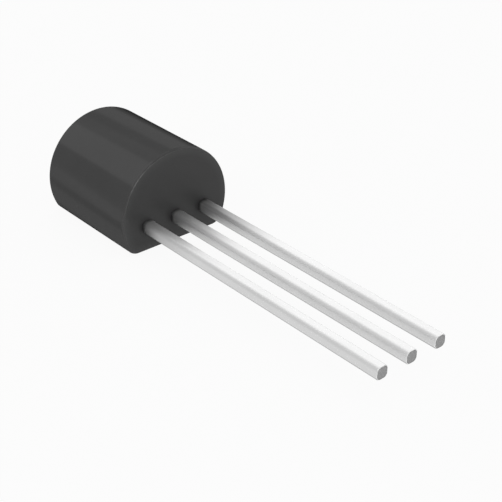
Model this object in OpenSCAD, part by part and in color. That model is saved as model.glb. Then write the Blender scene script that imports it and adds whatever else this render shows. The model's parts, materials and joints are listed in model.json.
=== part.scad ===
// Temperature sensor in a three-lead moulded package, lying on its flat.
// X runs along the leads with their tips at +X, Y runs along the row of leads, Z is up.
// The origin is the centre of the flat. Leads are numbered from the left for someone who
// looks at the flat with the leads pointing down, so lead 1 is at +Y.

/* [Moulding] */
// Radius of the round side
body_r = 2.36; // [2.25:0.01:2.5]
// Distance from the flat to the axis of the round side
flat_to_axis = 1.28; // [1.15:0.01:1.45]
// Length of the moulding along the leads
body_len = 4.95; // [4.5:0.01:5.3]
// Radius of the two long edges beside the flat
flat_edge_r = 0.5; // [0.3:0.01:0.6]
// Rounding of the rim at the lead end
front_rim_r = 0.1; // [0.04:0.01:0.25]
// Rounding of the rim at the closed end
rear_rim_r = 0.22; // [0.04:0.01:0.3]

/* [Leads] */
// Spacing of the leads, centre to centre
lead_pitch = 1.27; // [1.2:0.01:1.4]
// Width of a lead along the row
lead_w = 0.47; // [0.38:0.01:0.55]
// Thickness of the strip that the leads are stamped from
lead_t = 0.48; // [0.38:0.01:0.55]
// Corner radius of the lead section
lead_corner_r = 0.16; // [0.05:0.01:0.17]
// Length of a lead outside the moulding
lead_len = 11.75; // [8:0.05:14.5]
// Height of the lead centres above the flat
lead_rise = 0.98; // [0.85:0.01:1.15]

/* [Lead frame inside the moulding] */
// Depth of the bond posts behind the lead end of the moulding
post_depth = 0.85; // [0.6:0.01:1]
// Length of a bond post along the lead
post_len = 0.8; // [0.6:0.01:0.9]
// How far a bond post reaches past the outer side of its lead
post_lip = 0.2; // [0.1:0.01:0.3]
// Gap between neighbouring pieces of the stamped frame
strip_gap = 0.35; // [0.25:0.01:0.4]
// Length of the flag that carries the chip
flag_len = 1.9; // [1.7:0.01:2]
// Width of the flag
flag_w = 2.3; // [1.7:0.01:2.6]
// Corner radius of the flag and the posts
stamp_r = 0.12; // [0.04:0.01:0.2]

/* [Chip and wires] */
// Length of the chip along the leads
chip_len = 1.3; // [1:0.01:1.4]
// Width of the chip
chip_w = 1.1; // [0.9:0.01:1.3]
// Thickness of the chip
chip_t = 0.28; // [0.18:0.01:0.4]
// Thickness of the adhesive under the chip
attach_t = 0.03; // [0.02:0.005:0.06]
// How far the adhesive shows round the chip
attach_margin = 0.06; // [0.03:0.01:0.12]
// Distance of the bond pads from the edges of the chip
pad_inset = 0.16; // [0.12:0.01:0.25]
// Diameter of a bond wire
wire_d = 0.05; // [0.04:0.005:0.06]
// Diameter of the ball that starts a bond wire
ball_d = 0.13; // [0.11:0.01:0.16]
// Rise of a wire loop above the straight line between its ends
loop_rise = 0.36; // [0.25:0.01:0.5]

/* [Hidden] */
$fn = 64;

// Places along X
front_x = body_len / 2;
post_front_x = front_x - post_depth;
post_rear_x = post_front_x - post_len;
flag_front_x = post_rear_x - strip_gap;
flag_mid_x = flag_front_x - flag_len / 2;
bond_x = (post_front_x + post_rear_x) / 2;
pad_x = flag_mid_x + chip_len / 2 - pad_inset;

// Places along Y
post_inner_y = lead_w / 2 + strip_gap;
post_outer_y = lead_pitch + lead_w / 2 + post_lip;
bond_y = (post_inner_y + post_outer_y) / 2;
pad_y = chip_w / 2 - pad_inset;

// Heights, upwards
strip_base_z = lead_rise - lead_t / 2;
strip_top_z = lead_rise + lead_t / 2;
chip_base_z = strip_top_z + attach_t;
chip_top_z = chip_base_z + chip_t;
ball_z = chip_top_z + ball_d / 4;

// Centre of the rounded edge beside the flat, and the turn of the round side down to it
edge_y = sqrt(pow(body_r - flat_edge_r, 2) - pow(flat_to_axis - flat_edge_r, 2));
edge_dip = atan2(flat_to_axis - flat_edge_r, edge_y);

// Draws its children in the cross-section plane: their x is Y, their y is Z, their z is X
module across_leads() {
    rotate([90, 0, 90]) children();
}

// Quarter disc in the corner towards +x and +y or, with side -1, towards +x and -y
module quarter_disc(r, side) {
    intersection() {
        circle(r);
        translate([0, side < 0 ? -r : 0]) square(r);
    }
}

// Section from the inside of the moulding out to its skin: x is outwards, y is along the leads
module skin_profile(reach) {
    union() {
        polygon([
            [0, -front_x],
            [reach - rear_rim_r, -front_x],
            [reach, rear_rim_r - front_x],
            [reach, front_x - front_rim_r],
            [reach - front_rim_r, front_x],
            [0, front_x]
        ]);
        translate([reach - rear_rim_r, rear_rim_r - front_x]) quarter_disc(rear_rim_r, -1);
        translate([reach - front_rim_r, front_x - front_rim_r]) quarter_disc(front_rim_r, 1);
    }
}

// The outer form: the skin profile taken round the back, round both edges and over the flat
module outer_form() {
    core_z = flat_to_axis + flat_edge_r;
    across_leads() {
        translate([0, flat_to_axis]) rotate(-edge_dip)
            rotate_extrude(angle = 180 + 2 * edge_dip) skin_profile(body_r);
        for (side = [-1, 1])
            translate([side * edge_y, flat_edge_r]) rotate_extrude() skin_profile(flat_edge_r);
        translate([0, core_z]) rotate([90, 0, -90])
            linear_extrude(2 * edge_y, center = true) skin_profile(core_z);
    }
}

// Rectangle between two corners, with rounded corners
module round_rect(low, high, r) {
    union() {
        translate(low + [r, 0]) square(high - low - [2 * r, 0]);
        translate(low + [0, r]) square(high - low - [0, 2 * r]);
        for (x = [low.x + r, high.x - r])
            for (y = [low.y + r, high.y - r])
                translate([x, y]) circle(r);
    }
}

// Straight run of a lead from a place inside the moulding to the cut tip
module lead_bar(from_x, y) {
    half = [lead_w, lead_t] / 2;
    translate([from_x, 0, 0]) across_leads() linear_extrude(front_x + lead_len - from_x)
        translate([y, lead_rise]) round_rect(-half, half, lead_corner_r);
}

// Stamped plate of the lead frame between two corners
module strip_plate(low, high) {
    translate([0, 0, strip_base_z]) linear_extrude(lead_t) round_rect(low, high, stamp_r);
}

// Outer lead with its bond post, on the side of +Y or -Y
module outer_lead(side) {
    ys = [side * post_inner_y, side * post_outer_y];
    lead_bar(bond_x, side * lead_pitch);
    strip_plate([post_rear_x, min(ys)], [post_front_x, max(ys)]);
}

module lead_1() {
    color("gainsboro") outer_lead(1);
}

module lead_2() {
    color("gainsboro") {
        lead_bar(flag_mid_x, 0);
        strip_plate([flag_front_x - flag_len, -flag_w / 2], [flag_front_x, flag_w / 2]);
    }
}

module lead_3() {
    color("gainsboro") outer_lead(-1);
}

module sensor_chip() {
    color("slategray") translate([flag_mid_x - chip_len / 2, -chip_w / 2, chip_base_z])
        cube([chip_len, chip_w, chip_t]);
}

module die_attach() {
    bed = [chip_len, chip_w] + 2 * attach_margin * [1, 1];
    color("silver") translate([flag_mid_x, 0, strip_top_z]) linear_extrude(attach_t)
        round_rect(-bed / 2, bed / 2, attach_margin);
}

// Wire in one arc from a ball on the chip, at y = from_y, to the strip, at y = to_y
module bond_wire(from_y, to_y) {
    start = [pad_x, from_y, ball_z];
    end = [bond_x, to_y, strip_top_z];
    span = end - start;
    run = norm([span.x, span.y]);
    chord = norm(span);
    bend_r = (pow(chord / 2, 2) + pow(loop_rise, 2)) / (2 * loop_rise);
    half_turn = asin(chord / (2 * bend_r));
    // Turn past the end, so that the arc is cut off by the face of the strip
    over_turn = 2 * asin(wire_d / bend_r);
    color("goldenrod") union() {
        intersection() {
            translate((start + end) / 2) rotate([0, -atan2(span.z, run), atan2(span.y, span.x)])
                translate([0, 0, loop_rise - bend_r]) rotate([90, 0, 0])
                    rotate(90 - half_turn - over_turn) rotate_extrude(angle = 2 * half_turn + over_turn)
                        translate([bend_r, 0]) circle(d = wire_d);
            above(strip_top_z);
        }
        intersection() {
            translate(start) sphere(d = ball_d);
            above(chip_top_z);
        }
    }
}

// All the room over a height that the inside of the moulding can take up
module above(z) {
    translate([-front_x, -body_r, z]) cube([body_len, 2 * body_r, body_r]);
}

module bond_wire_1() {
    bond_wire(pad_y, bond_y);
}

module bond_wire_2() {
    bond_wire(0, 0);
}

module bond_wire_3() {
    bond_wire(-pad_y, -bond_y);
}

module moulded_body() {
    color("#3b3b3d") difference() {
        outer_form();
        lead_1();
        lead_2();
        lead_3();
        die_attach();
        sensor_chip();
        bond_wire_1();
        bond_wire_2();
        bond_wire_3();
    }
}

moulded_body();
lead_1();
lead_2();
lead_3();
sensor_chip();
die_attach();
bond_wire_1();
bond_wire_2();
bond_wire_3();
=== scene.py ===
import json
import math

import bmesh
import bpy
from bpy.props import FloatProperty, FloatVectorProperty, PointerProperty
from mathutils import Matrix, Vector

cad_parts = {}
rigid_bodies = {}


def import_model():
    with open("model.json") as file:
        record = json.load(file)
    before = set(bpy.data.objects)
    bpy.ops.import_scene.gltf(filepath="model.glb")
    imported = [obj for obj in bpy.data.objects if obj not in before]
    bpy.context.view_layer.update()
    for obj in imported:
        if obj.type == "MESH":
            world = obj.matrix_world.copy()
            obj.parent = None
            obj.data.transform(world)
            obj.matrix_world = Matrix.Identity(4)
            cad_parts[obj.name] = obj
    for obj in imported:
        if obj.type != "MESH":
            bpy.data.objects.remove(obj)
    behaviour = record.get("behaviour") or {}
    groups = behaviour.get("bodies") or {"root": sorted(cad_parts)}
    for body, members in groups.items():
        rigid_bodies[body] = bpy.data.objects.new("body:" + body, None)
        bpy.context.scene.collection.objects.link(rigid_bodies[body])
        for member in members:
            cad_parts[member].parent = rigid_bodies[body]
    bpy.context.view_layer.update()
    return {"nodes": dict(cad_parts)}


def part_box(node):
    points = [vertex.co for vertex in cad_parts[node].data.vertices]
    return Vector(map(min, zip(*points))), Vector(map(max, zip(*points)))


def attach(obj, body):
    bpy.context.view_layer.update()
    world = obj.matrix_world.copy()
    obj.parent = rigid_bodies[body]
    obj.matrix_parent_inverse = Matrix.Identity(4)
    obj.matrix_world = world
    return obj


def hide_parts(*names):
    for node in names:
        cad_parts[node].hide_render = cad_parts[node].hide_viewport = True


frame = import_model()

bl_info = {
    "name": "Moulded temperature sensor",
    "version": (1, 0, 0),
    "blender": (4, 5, 0),
    "location": "3D View > Sidebar > Sensor",
    "description": "Builds the looks of a three-lead moulded temperature sensor and a studio stage",
    "category": "Object",
}

# Lengths are in metres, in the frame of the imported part: X along the leads towards their tips,
# Y along the row of leads, Z up from the flat that the part lies on.
MM = 0.001
BODY_LOW, BODY_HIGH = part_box("moulded_body")
MIDDLE_LOW, MIDDLE_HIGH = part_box("lead_2")
OUTER_LOW, OUTER_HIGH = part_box("lead_1")
FRONT_X = BODY_HIGH[0]
TIP_X = MIDDLE_HIGH[0]
LEAD_RISE = (MIDDLE_LOW[2] + MIDDLE_HIGH[2]) / 2
LEAD_THICKNESS = MIDDLE_HIGH[2] - MIDDLE_LOW[2]

# Steps of the round stretches of each outline
ROUND_SIDE_STEPS = 192
LONG_EDGE_STEPS = 20
RIM_STEPS = 12
LEAD_CORNER_STEPS = 10
STAMP_CORNER_STEPS = 8

# Distances within which points become one, and the angle from which an edge looks sharp
SAME_POINT = 0.0001 * MM
WELD = 0.006 * MM
SHARP_ANGLE = math.radians(40.0)

# Shares of the tip break: how far in and back the middle of the worn edge lies, and what counts as cut
WEAR_MIDDLE = 0.3
CUT_DEPTH = 0.1

# Range that nearly all values of the noise fall in, how strong its finer layers are, and its usual stretch
NOISE_RANGE = (0.25, 0.75)
NOISE_ROUGHNESS = 0.55
NO_STRETCH = (1.0, 1.0, 1.0)

# Looks of the floor in mirror reflections: a shade beside the moulding, which starts and ends over these
# distances along Y and stops in front over this stretch of X, and a fade further away
SHADE_START = (3.1 * MM, 3.7 * MM)
SHADE_END = (4.2 * MM, 5.0 * MM)
SHADE_FRONT = (1.6 * MM, 2.6 * MM)
SHADE_DEPTH = 0.5
FADE_RANGE = (7.5 * MM, 20 * MM)
FADE_LEFT = 0.6

# Strips of light: their distance from the line through the origin along X, their length and their set-back
STRIP_REACH = 90 * MM
STRIP_RUN = 300 * MM
STRIP_SET_BACK = 72 * MM

WHITE = (1.0, 1.0, 1.0, 1.0)
OUTLINE_SIZES = ("Round radius", "Flat to axis", "Edge radius")


def length(name, description, millimetres):
    """Length property with a default in millimetres."""
    return FloatProperty(name=name, description=description, default=millimetres * MM, min=0.0, precision=6,
                         subtype="DISTANCE", unit="LENGTH")


def angle(name, description, degrees):
    """Angle property with a default in degrees."""
    return FloatProperty(name=name, description=description, default=math.radians(degrees), subtype="ANGLE",
                         unit="ROTATION")


def share(name, description, default):
    """Property for a share between nothing and all."""
    return FloatProperty(name=name, description=description, default=default, min=0.0, max=1.0,
                         subtype="FACTOR")


def colour(name, description, default):
    """Colour property in linear values."""
    return FloatVectorProperty(name=name, description=description, default=default, min=0.0, max=1.0, size=3,
                               subtype="COLOR")


class SensorMoulding(bpy.types.PropertyGroup):
    """Shape and finish of the epoxy moulding."""
    round_radius: length("Round radius", "Radius of the round side", 2.36)
    flat_to_axis: length("Flat to axis", "Distance from the flat to the axis of the round side", 1.28)
    edge_radius: length("Edge radius", "Radius of the two long edges beside the flat", 0.5)
    front_rim: length("Front rim", "Rounding of the rim at the lead end", 0.1)
    rear_rim: length("Rear rim", "Rounding of the rim at the closed end", 0.22)
    tint: colour("Tint", "Colour of the filled epoxy", (0.026, 0.026, 0.026))
    roughness: share("Roughness", "Mean roughness of the moulded skin", 0.15)
    end_roughness: share("End roughness", "Mean roughness of the two end faces", 0.5)
    gloss: share("Gloss", "Mirror reflection seen head on, where one half is usual for plastic", 0.55)
    grain: length("Grain", "Size of the fine grain that the mould leaves on the skin", 0.05)
    end_loss: share("End loss", "Gloss that the end faces lack", 0.21)
    end_border: length("End border", "Width of the glossier border of the end faces", 0.3)
    # Painted shade round the lead exits: how much colour and gloss it takes, and the width of its ring
    exit_shade_loss: share("Exit loss", "Colour and gloss that the ring round each lead lacks", 0.1)
    exit_shade_ring: length("Exit ring", "Width of the darker ring round each lead", 0.3)


class SensorLeads(bpy.types.PropertyGroup):
    """Shape and finish of the tinned leads."""
    pitch: length("Pitch", "Spacing of the leads, centre to centre", 1.27)
    width: length("Width", "Width of a lead along the row", 0.47)
    corner_radius: length("Corner radius", "Corner radius of the lead section", 0.16)
    tip_break: length("Tip break", "Size of the worn edge round the cut tip", 0.025)
    post_length: length("Post length", "Length of the bond posts inside the moulding", 0.8)
    flag_length: length("Flag length", "Length of the flag that carries the chip", 1.9)
    stamp_radius: length("Stamp radius", "Corner radius of the flag and the posts", 0.12)
    tint: colour("Tint", "Colour of the tin", (0.708, 0.708, 0.708))
    roughness: share("Roughness", "Mean roughness of the tin", 0.52)
    cut_tint: colour("Cut tint", "Colour of the cut tips", (0.305, 0.305, 0.305))
    # Painted shade near the moulding: lengths of the dark stretch at the root of each lead and of the
    # fainter darkening beyond it
    painted_root_shade_length: length("Root film", "Length of the film of resin on the root of each lead", 0.2)
    painted_long_shade_length: length("Dull run", "Length over which the tin is duller towards the moulding", 3.4)
    # Painted shade on top of the leads near the moulding, strongest on lead 1: its strength and the distance
    # at which it ends
    painted_top_shade: share("Bleed", "Shine that a thin bleed of resin takes from the top of lead 1", 0.36)
    top_shade_run: length("Bleed run", "Distance from the moulding at which the bleed of resin ends", 4.5)


class SensorStage(bpy.types.PropertyGroup):
    """Floor, light and viewing angle."""
    floor_tint: colour("Floor tint", "Colour of the floor", (0.94, 0.94, 0.94))
    seen_white: share("Seen white", "Share of plain white that the eye sees in the floor and the sky", 0.93)
    mirrored_white: share("Mirrored white", "Share of plain white in mirror reflections of the sky", 0.5)
    sky: FloatProperty(name="Sky", description="Brightness of the light from all round", default=0.62,
                       min=0.0)
    azimuth: angle("Azimuth", "Turn of the camera round the part", 49.7453)
    elevation: angle("Elevation", "Height angle of the camera", 30.0384)
    distance: length("Distance", "Distance of the camera from the point it aims at", 41.648)
    lens: FloatProperty(name="Lens", description="Focal length in millimetres for a 36 mm wide sensor",
                        default=87.543, min=1.0)


def feed(tree, socket, value):
    """Links another socket to a node input, or sets the input to a plain value."""
    if isinstance(value, bpy.types.NodeSocket):
        tree.links.new(value, socket)
    else:
        socket.default_value = value


def add_node(tree, kind, inputs, **options):
    """Adds a node with its options, and inputs given by name or by number."""
    node = tree.nodes.new(kind)
    for option, value in options.items():
        setattr(node, option, value)
    for key, value in inputs.items():
        feed(tree, node.inputs[key], value)
    return node


def node_output(tree, kind, output, inputs, **options):
    """One output of a new node, by name or by number."""
    return add_node(tree, kind, inputs, **options).outputs[output]


def maths(tree, operation, first, second=0.0):
    """Result of a Math node."""
    return node_output(tree, "ShaderNodeMath", 0, {0: first, 1: second}, operation=operation)


def plus(tree, first, second):
    """Sum of two values."""
    return maths(tree, "ADD", first, second)


def minus(tree, first, second):
    """Difference of two values."""
    return maths(tree, "SUBTRACT", first, second)


def times(tree, first, second):
    """Product of two values."""
    return maths(tree, "MULTIPLY", first, second)


def squared(tree, value):
    """Second power of a value."""
    return maths(tree, "POWER", value, 2.0)


def slant_length(tree, first, second):
    """Length of the slant over two offsets at right angles."""
    return maths(tree, "SQRT", plus(tree, squared(tree, first), squared(tree, second)))


def vector(tree, x, y, z):
    """Vector joined from three values or sockets."""
    return node_output(tree, "ShaderNodeCombineXYZ", 0, {"X": x, "Y": y, "Z": z})


def parts(tree, whole):
    """Sockets of the X, Y and Z parts of a vector."""
    return add_node(tree, "ShaderNodeSeparateXYZ", {"Vector": whole}).outputs


def geometry_tree(name, numbers, points=(), materials=()):
    """Geometry node tree with named inputs, and the sockets of those inputs by name."""
    tree = bpy.data.node_groups.new(name, "GeometryNodeTree")
    tree.interface.new_socket(name="Geometry", in_out="OUTPUT", socket_type="NodeSocketGeometry")
    kinds = {"NodeSocketFloat": numbers, "NodeSocketVector": points, "NodeSocketMaterial": materials}
    for kind, labels in kinds.items():
        for label in labels:
            tree.interface.new_socket(name=label, in_out="INPUT", socket_type=kind)
    given = tree.nodes.new("NodeGroupInput").outputs
    return tree, given


def give_out(tree, geometry):
    """Ends a geometry tree with its output."""
    add_node(tree, "NodeGroupOutput", {"Geometry": geometry})


def point_index(tree):
    """Number of each point along a curve."""
    return node_output(tree, "GeometryNodeInputIndex", "Index", {})


def point_place(tree):
    """Sockets of the place of each point along X, Y and Z."""
    return parts(tree, node_output(tree, "GeometryNodeInputPosition", "Position", {}))


def less_than(tree, kind, first, second):
    """Whether one value is less than another, for a kind of number."""
    return node_output(tree, "FunctionNodeCompare", "Result", {"A": first, "B": second}, data_type=kind,
                       operation="LESS_THAN")


def cyclic(tree, curve, closed):
    """Curve that runs back to its start, or is open."""
    return node_output(tree, "GeometryNodeSetSplineCyclic", "Geometry",
                       {"Geometry": curve, "Cyclic": closed})


def open_path(tree, points):
    """Open path through four points."""
    inputs = {f"Point {number}": point for number, point in enumerate(points, start=1)}
    ring = node_output(tree, "GeometryNodeCurvePrimitiveQuadrilateral", "Curve", inputs, mode="POINTS")
    return cyclic(tree, ring, False)


def rectangle(tree, width, height):
    """Rectangle round the origin."""
    return node_output(tree, "GeometryNodeCurvePrimitiveQuadrilateral", "Curve",
                       {"Width": width, "Height": height}, mode="RECTANGLE")


def rounded(tree, curve, radius, steps):
    """Curve with its corners rounded."""
    inputs = {"Curve": curve, "Count": steps, "Radius": radius, "Limit Radius": True}
    return node_output(tree, "GeometryNodeFilletCurve", "Curve", inputs, mode="POLY")


def swept(tree, path, profile, scale=1.0, caps=False):
    """Mesh of a profile that is taken along a path without turning about it."""
    level = node_output(tree, "GeometryNodeSetCurveNormal", "Curve", {"Curve": path}, mode="Z_UP")
    inputs = {"Curve": level, "Profile Curve": profile, "Scale": scale, "Fill Caps": caps}
    return node_output(tree, "GeometryNodeCurveToMesh", "Mesh", inputs)


def moved(tree, geometry, offset):
    """Geometry moved by an offset."""
    return node_output(tree, "GeometryNodeTransform", "Geometry",
                       {"Geometry": geometry, "Translation": offset})


def joined(tree, pieces):
    """All pieces in one geometry."""
    node = tree.nodes.new("GeometryNodeJoinGeometry")
    for piece in pieces:
        tree.links.new(piece, node.inputs["Geometry"])
    return node.outputs["Geometry"]


def welded(tree, geometry, distance):
    """Geometry whose points become one where they lie within a distance."""
    return node_output(tree, "GeometryNodeMergeByDistance", "Geometry",
                       {"Geometry": geometry, "Distance": distance})


def realized(tree, geometry):
    """Geometry with no instances left in it."""
    return node_output(tree, "GeometryNodeRealizeInstances", "Geometry", {"Geometry": geometry})


def dressed(tree, geometry, material, selection=True):
    """Geometry with a material on the selected faces."""
    inputs = {"Geometry": geometry, "Selection": selection, "Material": material}
    return node_output(tree, "GeometryNodeSetMaterial", "Geometry", inputs)


def outline_group():
    """Node group for the flat-sided outline, moved inwards by an inset. Its x is Y and its y is Z."""
    tree, given = geometry_tree("Flat-sided outline", numbers=(*OUTLINE_SIZES, "Inset"))
    # The centres of the two edge arcs lie across and below the axis of the round side.
    reach = minus(tree, given["Round radius"], given["Edge radius"])
    drop = minus(tree, given["Flat to axis"], given["Edge radius"])
    across = maths(tree, "SQRT", minus(tree, squared(tree, reach), squared(tree, drop)))
    dip = maths(tree, "ARCTAN2", drop, across)
    round_centre = vector(tree, 0.0, given["Flat to axis"], 0.0)
    left_centre = vector(tree, times(tree, across, -1.0), given["Edge radius"], 0.0)
    right_centre = vector(tree, across, given["Edge radius"], 0.0)
    round_reach = minus(tree, given["Round radius"], given["Inset"])
    edge_reach = minus(tree, given["Edge radius"], given["Inset"])
    round_sweep = plus(tree, times(tree, dip, 2.0), math.pi)
    edge_sweep = minus(tree, math.pi / 2, dip)
    downwards = 1.5 * math.pi
    arcs = (
        (ROUND_SIDE_STEPS, round_reach, times(tree, dip, -1.0), round_sweep, round_centre),
        (LONG_EDGE_STEPS, edge_reach, plus(tree, dip, math.pi), edge_sweep, left_centre),
        (LONG_EDGE_STEPS, edge_reach, downwards, edge_sweep, right_centre),
    )
    curves = []
    for steps, radius, start, sweep, centre in arcs:
        inputs = {"Resolution": steps, "Radius": radius, "Start Angle": start, "Sweep Angle": sweep}
        arc = node_output(tree, "GeometryNodeCurveArc", "Curve", inputs, mode="RADIUS")
        curves.append(moved(tree, arc, centre))
    points = node_output(tree, "GeometryNodeCurveToPoints", "Points", {"Curve": joined(tree, curves)},
                         mode="EVALUATED")
    # The points are put in order by their angle round the axis of the round side.
    place = point_place(tree)
    turn = maths(tree, "ARCTAN2", minus(tree, place["Y"], given["Flat to axis"]), place["X"])
    ring = node_output(tree, "GeometryNodePointsToCurves", "Curves",
                       {"Points": welded(tree, points, SAME_POINT), "Weight": turn})
    give_out(tree, cyclic(tree, ring, True))
    return tree


def moulding_tree():
    """Tree for the moulding: a rim profile taken round the outline, and a plain face at each end."""
    tree, given = geometry_tree("Moulding", numbers=(*OUTLINE_SIZES, "Front rim", "Rear rim", "Length"),
                                materials=("Skin",))
    outline = outline_group()

    def ring(inset):
        """Outline of the moulding, moved inwards."""
        inputs = {label: given[label] for label in OUTLINE_SIZES}
        inputs["Inset"] = inset
        return node_output(tree, "GeometryNodeGroup", "Geometry", inputs, node_tree=outline)

    # The profile runs from the rear rim to the front rim: its x is outwards and its y points to the rear.
    half = times(tree, given["Length"], 0.5)
    below = times(tree, half, -1.0)
    corners = open_path(tree, (
        vector(tree, times(tree, given["Rear rim"], -1.0), half, 0.0),
        vector(tree, 0.0, half, 0.0),
        vector(tree, 0.0, below, 0.0),
        vector(tree, times(tree, given["Front rim"], -1.0), below, 0.0)))
    rear_corners = 2
    at_rear = less_than(tree, "INT", point_index(tree), rear_corners)
    rim = node_output(tree, "GeometryNodeSwitch", "Output",
                      {"Switch": at_rear, "False": given["Front rim"], "True": given["Rear rim"]},
                      input_type="FLOAT")
    pieces = [swept(tree, ring(0.0), rounded(tree, corners, rim, RIM_STEPS))]
    for inset, height in ((given["Rear rim"], below), (given["Front rim"], half)):
        face = node_output(tree, "GeometryNodeFillCurve", "Mesh", {"Curve": ring(inset)}, mode="NGONS")
        pieces.append(moved(tree, face, vector(tree, 0.0, 0.0, height)))
    closed = welded(tree, joined(tree, pieces), WELD)
    # The outline is turned upright, so that the moulding lies along X.
    laid = node_output(tree, "GeometryNodeTransform", "Geometry",
                       {"Geometry": closed, "Rotation": (math.pi / 2, 0.0, math.pi / 2)})
    smooth = node_output(tree, "GeometryNodeSetShadeSmooth", "Geometry", {"Geometry": laid})
    give_out(tree, dressed(tree, realized(tree, smooth), given["Skin"]))
    return tree


def worn_bar(tree, given):
    """Bar of a lead with rounded corners and a worn edge round its tip."""

    def before_end(breaks):
        """Place on the bar that lies some tip breaks before its end."""
        back = vector(tree, times(tree, given["Tip break"], -breaks), 0.0, 0.0)
        return node_output(tree, "ShaderNodeVectorMath", 0, {0: given["Bar end"], 1: back}, operation="ADD")

    path = open_path(tree, (given["Bar start"], before_end(1.0), before_end(WEAR_MIDDLE), given["Bar end"]))
    narrow = maths(tree, "DIVIDE", given["Tip break"], given["Width"])
    worn = minus(tree, 1.0, times(tree, narrow, 2 * WEAR_MIDDLE))
    tip = minus(tree, 1.0, times(tree, narrow, 2.0))
    girth = add_node(tree, "GeometryNodeIndexSwitch", {"Index": point_index(tree)}, data_type="FLOAT")
    # The switch starts with two of the four items that it needs.
    for _ in range(2):
        girth.index_switch_items.new()
    for number, size in enumerate((1.0, 1.0, worn, tip), start=1):
        feed(tree, girth.inputs[number], size)
    section = rectangle(tree, given["Width"], given["Thickness"])
    profile = rounded(tree, section, given["Corner radius"], LEAD_CORNER_STEPS)
    return swept(tree, path, profile, scale=girth.outputs["Output"], caps=True)


def stamped_plate(tree, given):
    """Plate with rounded corners, as thick as the bar."""
    rise = times(tree, given["Thickness"], 0.5)
    bottom = vector(tree, 0.0, 0.0, times(tree, rise, -1.0))
    top = vector(tree, 0.0, 0.0, rise)
    lift = node_output(tree, "GeometryNodeCurvePrimitiveLine", "Curve", {"Start": bottom, "End": top},
                       mode="POINTS")
    blank = rectangle(tree, given["Plate length"], given["Plate width"])
    profile = rounded(tree, blank, given["Plate radius"], STAMP_CORNER_STEPS)
    return swept(tree, moved(tree, lift, given["Plate centre"]), profile, caps=True)


def lead_tree():
    """Tree for one lead: a bar joined to its stamped plate inside the moulding, with a cut tip."""
    tree, given = geometry_tree(
        "Tinned lead",
        numbers=("Width", "Thickness", "Corner radius", "Tip break", "Plate length", "Plate width",
                 "Plate radius"),
        points=("Bar start", "Bar end", "Plate centre"),
        materials=("Tin", "Cut"))
    union = add_node(tree, "GeometryNodeMeshBoolean", {}, operation="UNION", solver="EXACT")
    for solid in (worn_bar(tree, given), stamped_plate(tree, given)):
        tree.links.new(solid, union.inputs["Mesh 2"])
    tinned = dressed(tree, realized(tree, union.outputs["Mesh"]), given["Tin"])
    short = minus(tree, parts(tree, given["Bar end"])["X"], point_place(tree)["X"])
    at_tip = less_than(tree, "FLOAT", short, times(tree, given["Tip break"], CUT_DEPTH))
    give_out(tree, dressed(tree, tinned, given["Cut"], selection=at_tip))
    return tree


def piece_from_tree(name, tree, inputs):
    """Plain mesh object made by a geometry tree with the given inputs."""
    piece = bpy.data.objects.new(name, bpy.data.meshes.new(name))
    bpy.context.scene.collection.objects.link(piece)
    modifier = piece.modifiers.new("Shape", "NODES")
    modifier.node_group = tree
    for item in tree.interface.items_tree:
        if item.in_out == "INPUT":
            modifier[item.identifier] = inputs[item.name]
    evaluated = piece.evaluated_get(bpy.context.evaluated_depsgraph_get())
    mesh = bpy.data.meshes.new_from_object(evaluated)
    piece.modifiers.remove(modifier)
    shell = bmesh.new()
    shell.from_mesh(mesh)
    bmesh.ops.recalc_face_normals(shell, faces=shell.faces)
    shell.to_mesh(mesh)
    shell.free()
    piece.data = mesh
    mesh.name = name
    return piece


def new_material(name):
    """Material with its node tree and its surface shader."""
    material = bpy.data.materials.new(name)
    material.use_nodes = True
    return material, material.node_tree, material.node_tree.nodes["Principled BSDF"]


def object_place(tree):
    """Sockets of the place on the piece along X, Y and Z."""
    return parts(tree, node_output(tree, "ShaderNodeTexCoord", "Object", {}))


def noise(tree, size, detail, stretch=NO_STRETCH):
    """Noise in object space with features of a given size in metres, stretched along each axis."""
    place = node_output(tree, "ShaderNodeTexCoord", "Object", {})
    scale = tuple(1.0 / part for part in stretch)
    mapped = node_output(tree, "ShaderNodeMapping", "Vector", {"Vector": place, "Scale": scale})
    inputs = {"Vector": mapped, "Scale": 1.0 / size, "Detail": detail, "Roughness": NOISE_ROUGHNESS}
    return node_output(tree, "ShaderNodeTexNoise", "Fac", inputs)


def ramp(tree, value, start, end, low, high, course="SMOOTHSTEP"):
    """Smooth or linear change from a low to a high number while a value goes from start to end."""
    inputs = {"Value": value, "From Min": start, "From Max": end, "To Min": low, "To Max": high}
    return node_output(tree, "ShaderNodeMapRange", "Result", inputs, interpolation_type=course)


def spread(tree, value, low, high):
    """Noise value spread over a range."""
    return ramp(tree, value, *NOISE_RANGE, low, high, course="LINEAR")


def varied(tree, value, mean, change):
    """Number that varies about its mean with a noise value."""
    return spread(tree, value, mean - change, mean + change)


def shaded(tree, value, tint, contrast):
    """Colour that goes from a darker to a lighter version of a tint with a noise value."""
    dark = [part * (1.0 - contrast) for part in tint]
    light = [min(1.0, part * (1.0 + contrast)) for part in tint]
    inputs = {"Factor": spread(tree, value, 0.0, 1.0), "A": (*dark, 1.0), "B": (*light, 1.0)}
    return node_output(tree, "ShaderNodeMix", "Result", inputs, data_type="RGBA")


def darkened(tree, tint, share_left):
    """Colour scaled by a number."""
    return node_output(tree, "ShaderNodeVectorMath", 0, {0: tint, "Scale": share_left}, operation="SCALE")


def bump(tree, height, distance):
    """Normal of a surface that rises and falls with a noise value, by a distance at most."""
    return node_output(tree, "ShaderNodeBump", "Normal", {"Height": height, "Distance": distance})


def from_lead_axis(tree, place, leads):
    """Offsets of a place from the axis of the nearest lead, along the row and upwards."""
    nearest = maths(tree, "ROUND", maths(tree, "DIVIDE", place["Y"], leads.pitch))
    nearest = maths(tree, "MINIMUM", maths(tree, "MAXIMUM", nearest, -1.0), 1.0)
    across = minus(tree, place["Y"], times(tree, nearest, leads.pitch))
    upwards = minus(tree, place["Z"], LEAD_RISE)
    return across, upwards


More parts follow.
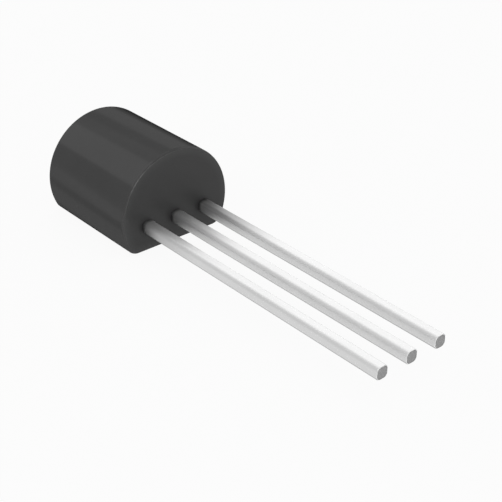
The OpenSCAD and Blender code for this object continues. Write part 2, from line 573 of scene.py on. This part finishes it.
def calm_gloss(tree):
    """Share of the usual gloss, which falls as the surface turns away from the eye.

    The fine grain takes the glare out of slanting reflections towards the outline.
    """
    slant_power = 4.4
    slant_scale = 6.4
    grazing_range = (0.08, 0.3)
    facing_range = (0.3966, 0.8092)
    least_facing = 0.15
    slant = node_output(tree, "ShaderNodeLayerWeight", "Facing", {"Blend": 0.5})
    towards = minus(tree, 1.0, slant)
    slanting = times(tree, maths(tree, "POWER", towards, slant_power), slant_scale)
    grazing = ramp(tree, towards, *grazing_range, 0.0, 1.0)
    facing = ramp(tree, towards, *facing_range, least_facing, 1.0, course="LINEAR")
    return maths(tree, "MINIMUM", times(tree, slanting, grazing), facing)


def epoxy_material(settings, leads):
    """Dark filled epoxy with the fine grain of the mould, duller on the end faces, with painted shade round
    the lead exits.
    """
    material, tree, surface = new_material("Moulded epoxy")
    bump_height = 0.0002 * MM
    lead_edge = leads.width / 2
    cloud = noise(tree, size=12 * settings.grain, detail=3.0)
    grain = noise(tree, size=settings.grain, detail=2.0)
    place = object_place(tree)
    # The finish of an end face starts on the last tenth of the rim.
    end_start = FRONT_X - settings.front_rim / 10
    at_end = ramp(tree, maths(tree, "ABSOLUTE", place["X"]), end_start, FRONT_X, 0.0, 1.0)
    # Painted shade: a narrow ring round each lead, where it comes out of the lead end, is darker and less
    # glossy.
    at_front = ramp(tree, place["X"], end_start, FRONT_X, 0.0, 1.0)
    from_lead = slant_length(tree, *from_lead_axis(tree, place, leads))
    ring = ramp(tree, from_lead, lead_edge, lead_edge + settings.exit_shade_ring, 1.0, 0.0)
    painted_exit_shade = times(tree, ring, at_front)
    left_by_exit_shade = minus(tree, 1.0, times(tree, painted_exit_shade, settings.exit_shade_loss))
    mottled = shaded(tree, cloud, settings.tint, contrast=0.06)
    feed(tree, surface.inputs["Base Color"], darkened(tree, mottled, left_by_exit_shade))
    rough = varied(tree, cloud, settings.roughness, change=0.02)
    duller = times(tree, at_end, settings.end_roughness - settings.roughness)
    feed(tree, surface.inputs["Roughness"], plus(tree, rough, duller))
    feed(tree, surface.inputs["Normal"], bump(tree, grain, bump_height))
    # The end faces have less gloss than the round side, apart from a border along the rim.
    from_axis = slant_length(tree, place["Y"], minus(tree, place["Z"], settings.flat_to_axis))
    inside = maths(tree, "MINIMUM", minus(tree, settings.round_radius, from_axis), place["Z"])
    border_end = settings.front_rim + settings.end_border
    end_loss = ramp(tree, inside, settings.front_rim, border_end, 0.0, settings.end_loss)
    left_at_end = minus(tree, 1.0, times(tree, at_end, end_loss))
    gloss = times(tree, calm_gloss(tree), settings.gloss)
    gloss = times(tree, gloss, times(tree, left_at_end, left_by_exit_shade))
    feed(tree, surface.inputs["Specular IOR Level"], gloss)
    return material


def tin_material(settings):
    """Satin tin with faint streaks along the lead, and painted shade near the moulding and on the underside.
    """
    material, tree, surface = new_material("Tin plating")
    bump_height = 0.0001 * MM
    streaks = noise(tree, size=0.1 * MM, detail=2.0, stretch=(12.0, 1.0, 1.0))
    cloud = noise(tree, size=0.5 * MM, detail=2.0, stretch=(3.0, 1.0, 1.0))
    place = object_place(tree)
    along = place["X"]
    upwards = parts(tree, node_output(tree, "ShaderNodeTexCoord", "Normal", {}))["Z"]
    # Painted shade from the moulding: the tin is much darker right at the root, and over a longer run a
    # little darker towards the moulding.
    root_shade_left = 0.3
    long_shade_left = 0.7
    root_shade = ramp(tree, along, FRONT_X, FRONT_X + settings.painted_root_shade_length, root_shade_left, 1.0)
    long_shade = ramp(tree, along, FRONT_X, FRONT_X + settings.painted_long_shade_length, long_shade_left, 1.0)
    shade_left_near_root = times(tree, root_shade, long_shade)
    # Painted shade on top of the leads near the moulding, which grows along the row from none on lead 3 to
    # its full strength on lead 1.
    top_shade_fade = 2 / 3 * settings.top_shade_run
    top_shade_end = FRONT_X + settings.top_shade_run
    top_range = (0.55, 0.92)
    row_share = ramp(tree, place["Y"], -settings.pitch, settings.pitch, 0.0, settings.painted_top_shade)
    near = ramp(tree, along, top_shade_end - top_shade_fade, top_shade_end, 1.0, 0.0)
    on_top = ramp(tree, upwards, *top_range, 0.0, 1.0)
    painted_top_shade = times(tree, times(tree, row_share, near), on_top)
    shade_left_near_root = times(tree, shade_left_near_root, minus(tree, 1.0, painted_top_shade))
    # Painted shade: the underside is darker than the rest.
    under_shade_range = (-0.65, -0.1)
    under_shade_left = 0.45
    painted_under_shade = ramp(tree, upwards, *under_shade_range, under_shade_left, 1.0)
    mottled = shaded(tree, cloud, settings.tint, contrast=0.02)
    feed(tree, surface.inputs["Base Color"], darkened(tree, mottled, times(tree, shade_left_near_root, painted_under_shade)))
    feed(tree, surface.inputs["Roughness"], varied(tree, streaks, settings.roughness, change=0.02))
    feed(tree, surface.inputs["Normal"], bump(tree, streaks, bump_height))
    surface.inputs["Metallic"].default_value = 1.0
    return material


def cut_material(settings):
    """Dull bare metal of the sheared tips, with lines in the direction of the cut and a darker border."""
    material, tree, surface = new_material("Sheared tip")
    bump_height = 0.001 * MM
    border_start = 0.35 * settings.width
    border_end = 0.47 * settings.width
    border_left = 0.72
    lines = noise(tree, size=0.03 * MM, detail=3.0, stretch=(1.0, 1.0, 5.0))
    across, upwards = from_lead_axis(tree, object_place(tree), settings)
    outwards = maths(tree, "MAXIMUM", maths(tree, "ABSOLUTE", across), maths(tree, "ABSOLUTE", upwards))
    border = ramp(tree, outwards, border_start, border_end, 1.0, border_left)
    lined = shaded(tree, lines, settings.cut_tint, contrast=0.12)
    feed(tree, surface.inputs["Base Color"], darkened(tree, lined, border))
    feed(tree, surface.inputs["Roughness"], varied(tree, lines, mean=0.575, change=0.075))
    feed(tree, surface.inputs["Normal"], bump(tree, lines, bump_height))
    surface.inputs["Metallic"].default_value = 1.0
    return material


def plain_material(name, tint, contrast, size, roughness, metallic):
    """Finish for a hidden piece, with a mottled colour and roughness."""
    material, tree, surface = new_material(name)
    cloud = noise(tree, size, detail=3.0)
    feed(tree, surface.inputs["Base Color"], shaded(tree, cloud, tint, contrast))
    feed(tree, surface.inputs["Roughness"], varied(tree, cloud, roughness, change=0.05))
    surface.inputs["Metallic"].default_value = metallic
    return material


class SENSOR_OT_moulding(bpy.types.Operator):
    """Build the epoxy moulding with its rounded rims"""
    bl_idname = "sensor.moulding"
    bl_label = "Moulding"

    def execute(self, context):
        settings = context.scene.sensor_moulding
        piece = piece_from_tree("moulding_skin", moulding_tree(), {
            "Round radius": settings.round_radius,
            "Flat to axis": settings.flat_to_axis,
            "Edge radius": settings.edge_radius,
            "Front rim": settings.front_rim,
            "Rear rim": settings.rear_rim,
            "Length": BODY_HIGH[0] - BODY_LOW[0],
            "Skin": epoxy_material(settings, context.scene.sensor_leads),
        })
        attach(piece, "root")
        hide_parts("moulded_body")
        return {"FINISHED"}


class SENSOR_OT_leads(bpy.types.Operator):
    """Build the three tinned leads with their cut tips"""
    bl_idname = "sensor.leads"
    bl_label = "Leads"

    def execute(self, context):
        settings = context.scene.sensor_leads
        tree = lead_tree()
        tin = tin_material(settings)
        cut = cut_material(settings)
        # Side of the row, and the rear end, the length and the two sides of the plate inside the moulding
        plates = {
            "lead_1": (1.0, OUTER_LOW[0], settings.post_length, OUTER_LOW[1], OUTER_HIGH[1]),
            "lead_2": (0.0, MIDDLE_LOW[0], settings.flag_length, MIDDLE_LOW[1], MIDDLE_HIGH[1]),
            "lead_3": (-1.0, OUTER_LOW[0], settings.post_length, -OUTER_HIGH[1], -OUTER_LOW[1]),
        }
        for node, (side, rear_x, plate_length, low_y, high_y) in plates.items():
            centre = Vector((rear_x + plate_length / 2, (low_y + high_y) / 2, LEAD_RISE))
            piece = piece_from_tree("tinned_" + node, tree, {
                "Bar start": (centre.x, side * settings.pitch, LEAD_RISE),
                "Bar end": (TIP_X, side * settings.pitch, LEAD_RISE),
                "Width": settings.width,
                "Thickness": LEAD_THICKNESS,
                "Corner radius": settings.corner_radius,
                "Tip break": settings.tip_break,
                "Plate centre": centre,
                "Plate length": plate_length,
                "Plate width": high_y - low_y,
                "Plate radius": settings.stamp_radius,
                "Tin": tin,
                "Cut": cut,
            })
            piece.data.shade_smooth()
            piece.data.set_sharp_from_angle(angle=SHARP_ANGLE)
            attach(piece, "root")
            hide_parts(node)
        return {"FINISHED"}


class SENSOR_OT_inner_pieces(bpy.types.Operator):
    """Give the chip, its adhesive and the bond wires their finish"""
    bl_idname = "sensor.inner_pieces"
    bl_label = "Inner pieces"

    def execute(self, context):
        silicon = plain_material("Silicon", tint=(0.2, 0.22, 0.26), contrast=0.2, size=0.08 * MM,
                                 roughness=0.2, metallic=0.0)
        adhesive = plain_material("Silver-filled adhesive", tint=(0.55, 0.55, 0.57), contrast=0.3,
                                  size=0.02 * MM, roughness=0.6, metallic=0.0)
        gold = plain_material("Gold wire", tint=(0.95, 0.7, 0.3), contrast=0.05, size=0.03 * MM,
                              roughness=0.2, metallic=1.0)
        finishes = {"sensor_chip": silicon, "die_attach": adhesive, "bond_wire_1": gold, "bond_wire_2": gold,
                    "bond_wire_3": gold}
        for node, material in finishes.items():
            frame["nodes"][node].material_slots[0].material = material
        return {"FINISHED"}


def ray_share(tree, seen, mirrored):
    """Share of plain white that a ray finds: one share for the eye, and one for mirror reflections."""
    path = tree.nodes.new("ShaderNodeLightPath").outputs
    glossy = times(tree, path["Is Glossy Ray"], mirrored)
    direct = maths(tree, "MAXIMUM", path["Is Camera Ray"], path["Is Transmission Ray"])
    return maths(tree, "MAXIMUM", times(tree, direct, seen), glossy)


def floor_material(settings):
    """Pale floor that looks white and keeps the shadow of the part."""
    material, tree, surface = new_material("Floor")
    cloud = noise(tree, size=4 * MM, detail=2.0)
    feed(tree, surface.inputs["Base Color"], shaded(tree, cloud, settings.floor_tint, contrast=0.01))
    surface.inputs["Roughness"].default_value = 0.9
    surface.inputs["Specular IOR Level"].default_value = 0.0
    white = node_output(tree, "ShaderNodeEmission", "Emission", {"Color": WHITE, "Strength": 1.0})
    # In mirror reflections the floor has a shade beside the moulding and fades away from it.
    place = object_place(tree)
    aside = maths(tree, "ABSOLUTE", place["Y"])
    shade_start = ramp(tree, aside, *SHADE_START, 0.0, SHADE_DEPTH)
    shade_end = ramp(tree, aside, *SHADE_END, 1.0, 0.0)
    beside = ramp(tree, place["X"], *SHADE_FRONT, 1.0, 0.0)
    shade = times(tree, times(tree, shade_start, shade_end), beside)
    fading = ramp(tree, aside, *FADE_RANGE, 1.0, FADE_LEFT)
    white_share = ray_share(tree, settings.seen_white, minus(tree, fading, shade))
    mixed = node_output(tree, "ShaderNodeMixShader", "Shader",
                        {0: white_share, 1: surface.outputs["BSDF"], 2: white})
    tree.links.new(mixed, tree.nodes["Material Output"].inputs["Surface"])
    return material


def light_world(settings):
    """Even light from all round, white to the eye."""
    world = bpy.data.worlds.new("Studio")
    world.use_nodes = True
    tree = world.node_tree
    light = tree.nodes["Background"]
    light.inputs["Color"].default_value = WHITE
    light.inputs["Strength"].default_value = settings.sky
    white = node_output(tree, "ShaderNodeBackground", "Background", {"Color": WHITE, "Strength": 1.0})
    white_share = ray_share(tree, settings.seen_white, settings.mirrored_white)
    mixed = node_output(tree, "ShaderNodeMixShader", "Shader",
                        {0: white_share, 1: light.outputs["Background"], 2: white})
    tree.links.new(mixed, tree.nodes["World Output"].inputs["Surface"])
    bpy.context.scene.world = world


def soft_lamp(name, wide, tall, strength):
    """Rectangular lamp whose power goes with its strength and its size."""
    data = bpy.data.lights.new(name, "AREA")
    data.shape = "RECTANGLE"
    data.size = wide
    data.size_y = tall
    data.energy = strength * math.pi * wide * tall
    lamp = bpy.data.objects.new(name, data)
    bpy.context.scene.collection.objects.link(lamp)
    return lamp


def strip_lamp(name, pieces, turn, breadth, strength):
    """Long lamp along the leads that lights the given pieces alone.

    Its turn round the direction of the leads, from +Y through +Z, and its breadth are in degrees.
    """
    turned = math.radians(turn)
    width = 2 * STRIP_REACH * math.tan(math.radians(breadth) / 2)
    lamp = soft_lamp(name, STRIP_RUN, width, strength)
    lamp.location = (-STRIP_SET_BACK, STRIP_REACH * math.cos(turned), STRIP_REACH * math.sin(turned))
    lamp.rotation_euler = (turned - math.pi / 2, 0.0, 0.0)
    lit = bpy.data.collections.new(name)
    for piece in pieces:
        lit.objects.link(piece)
    lamp.light_linking.receiver_collection = lit


def add_lamps():
    """Strips for the moulding and the leads, and a small low lamp that picks out the moulding's rim."""
    moulding = [bpy.data.objects["moulding_skin"]]
    leads = [bpy.data.objects["tinned_lead_" + number] for number in "123"]
    strip_lamp("Strip over the near side", moulding, turn=118.0, breadth=50.0, strength=0.285)
    strip_lamp("Wide strip overhead", moulding, turn=105.5, breadth=75.0, strength=0.115)
    strip_lamp("Strip on the far side", moulding, turn=26.0, breadth=40.0, strength=0.305)
    strip_lamp("Strip behind the leads", leads, turn=52.0, breadth=92.0, strength=0.62)
    front = soft_lamp("Lamp in front of the tips", wide=44 * MM, tall=22 * MM, strength=4.0)
    towards = Vector((1.0, 0.0, 0.1)).normalized()
    reach = 120 * MM
    front.location = towards * reach
    front.rotation_euler = towards.to_track_quat("Z", "Y").to_euler()


def add_floor(settings):
    """Square floor under the part."""
    half = 600 * MM
    corners = [(-half, -half, 0.0), (half, -half, 0.0), (half, half, 0.0), (-half, half, 0.0)]
    mesh = bpy.data.meshes.new("floor")
    mesh.from_pydata(corners, [], [(0, 1, 2, 3)])
    mesh.materials.append(floor_material(settings))
    floor = bpy.data.objects.new("floor", mesh)
    bpy.context.scene.collection.objects.link(floor)


def add_camera(settings):
    """Camera at the viewing angle, aimed at the middle of the part."""
    aim = Vector((6.7073, 0.0, 1.352)) * MM
    level = math.cos(settings.elevation)
    back = Vector((math.sin(settings.azimuth) * level, -math.cos(settings.azimuth) * level,
                   math.sin(settings.elevation)))
    data = bpy.data.cameras.new("Camera")
    data.sensor_width = 36.0
    data.lens = settings.lens
    data.clip_start = 1 * MM
    data.clip_end = 10.0
    camera = bpy.data.objects.new("Camera", data)
    camera.location = aim + back * settings.distance
    camera.rotation_euler = (-back).to_track_quat("-Z", "Y").to_euler()
    bpy.context.scene.collection.objects.link(camera)
    bpy.context.scene.camera = camera


class SENSOR_OT_stage(bpy.types.Operator):
    """Set up the floor, the light and the camera"""
    bl_idname = "sensor.stage"
    bl_label = "Stage"

    def execute(self, context):
        settings = context.scene.sensor_stage
        add_floor(settings)
        light_world(settings)
        add_lamps()
        add_camera(settings)
        context.scene.view_settings.view_transform = "Standard"
        return {"FINISHED"}


class SENSOR_PT_panel(bpy.types.Panel):
    """Lists the settings and the steps of the sensor"""
    bl_idname = "SENSOR_PT_panel"
    bl_label = "Temperature sensor"
    bl_space_type = "VIEW_3D"
    bl_region_type = "UI"
    bl_category = "Sensor"

    def draw(self, context):
        steps = {
            "sensor_moulding": ("sensor.moulding",),
            "sensor_leads": ("sensor.leads", "sensor.inner_pieces"),
            "sensor_stage": ("sensor.stage",),
        }
        for group, operators in steps.items():
            settings = getattr(context.scene, group)
            column = self.layout.column()
            for name in settings.__annotations__:
                column.prop(settings, name)
            for operator in operators:
                column.operator(operator)


CLASSES = (SensorMoulding, SensorLeads, SensorStage, SENSOR_OT_moulding, SENSOR_OT_leads,
           SENSOR_OT_inner_pieces, SENSOR_OT_stage, SENSOR_PT_panel)


def register():
    """Registers the classes and adds the settings to the scene."""
    for item in CLASSES:
        bpy.utils.register_class(item)
    bpy.types.Scene.sensor_moulding = PointerProperty(type=SensorMoulding)
    bpy.types.Scene.sensor_leads = PointerProperty(type=SensorLeads)
    bpy.types.Scene.sensor_stage = PointerProperty(type=SensorStage)


def unregister():
    """Takes away what register added."""
    del bpy.types.Scene.sensor_stage
    del bpy.types.Scene.sensor_leads
    del bpy.types.Scene.sensor_moulding
    for item in reversed(CLASSES):
        bpy.utils.unregister_class(item)


def main():
    """Builds the pieces and the stage."""
    register()
    bpy.ops.sensor.moulding()
    bpy.ops.sensor.leads()
    bpy.ops.sensor.inner_pieces()
    bpy.ops.sensor.stage()


if __name__ == "__main__":
    main()
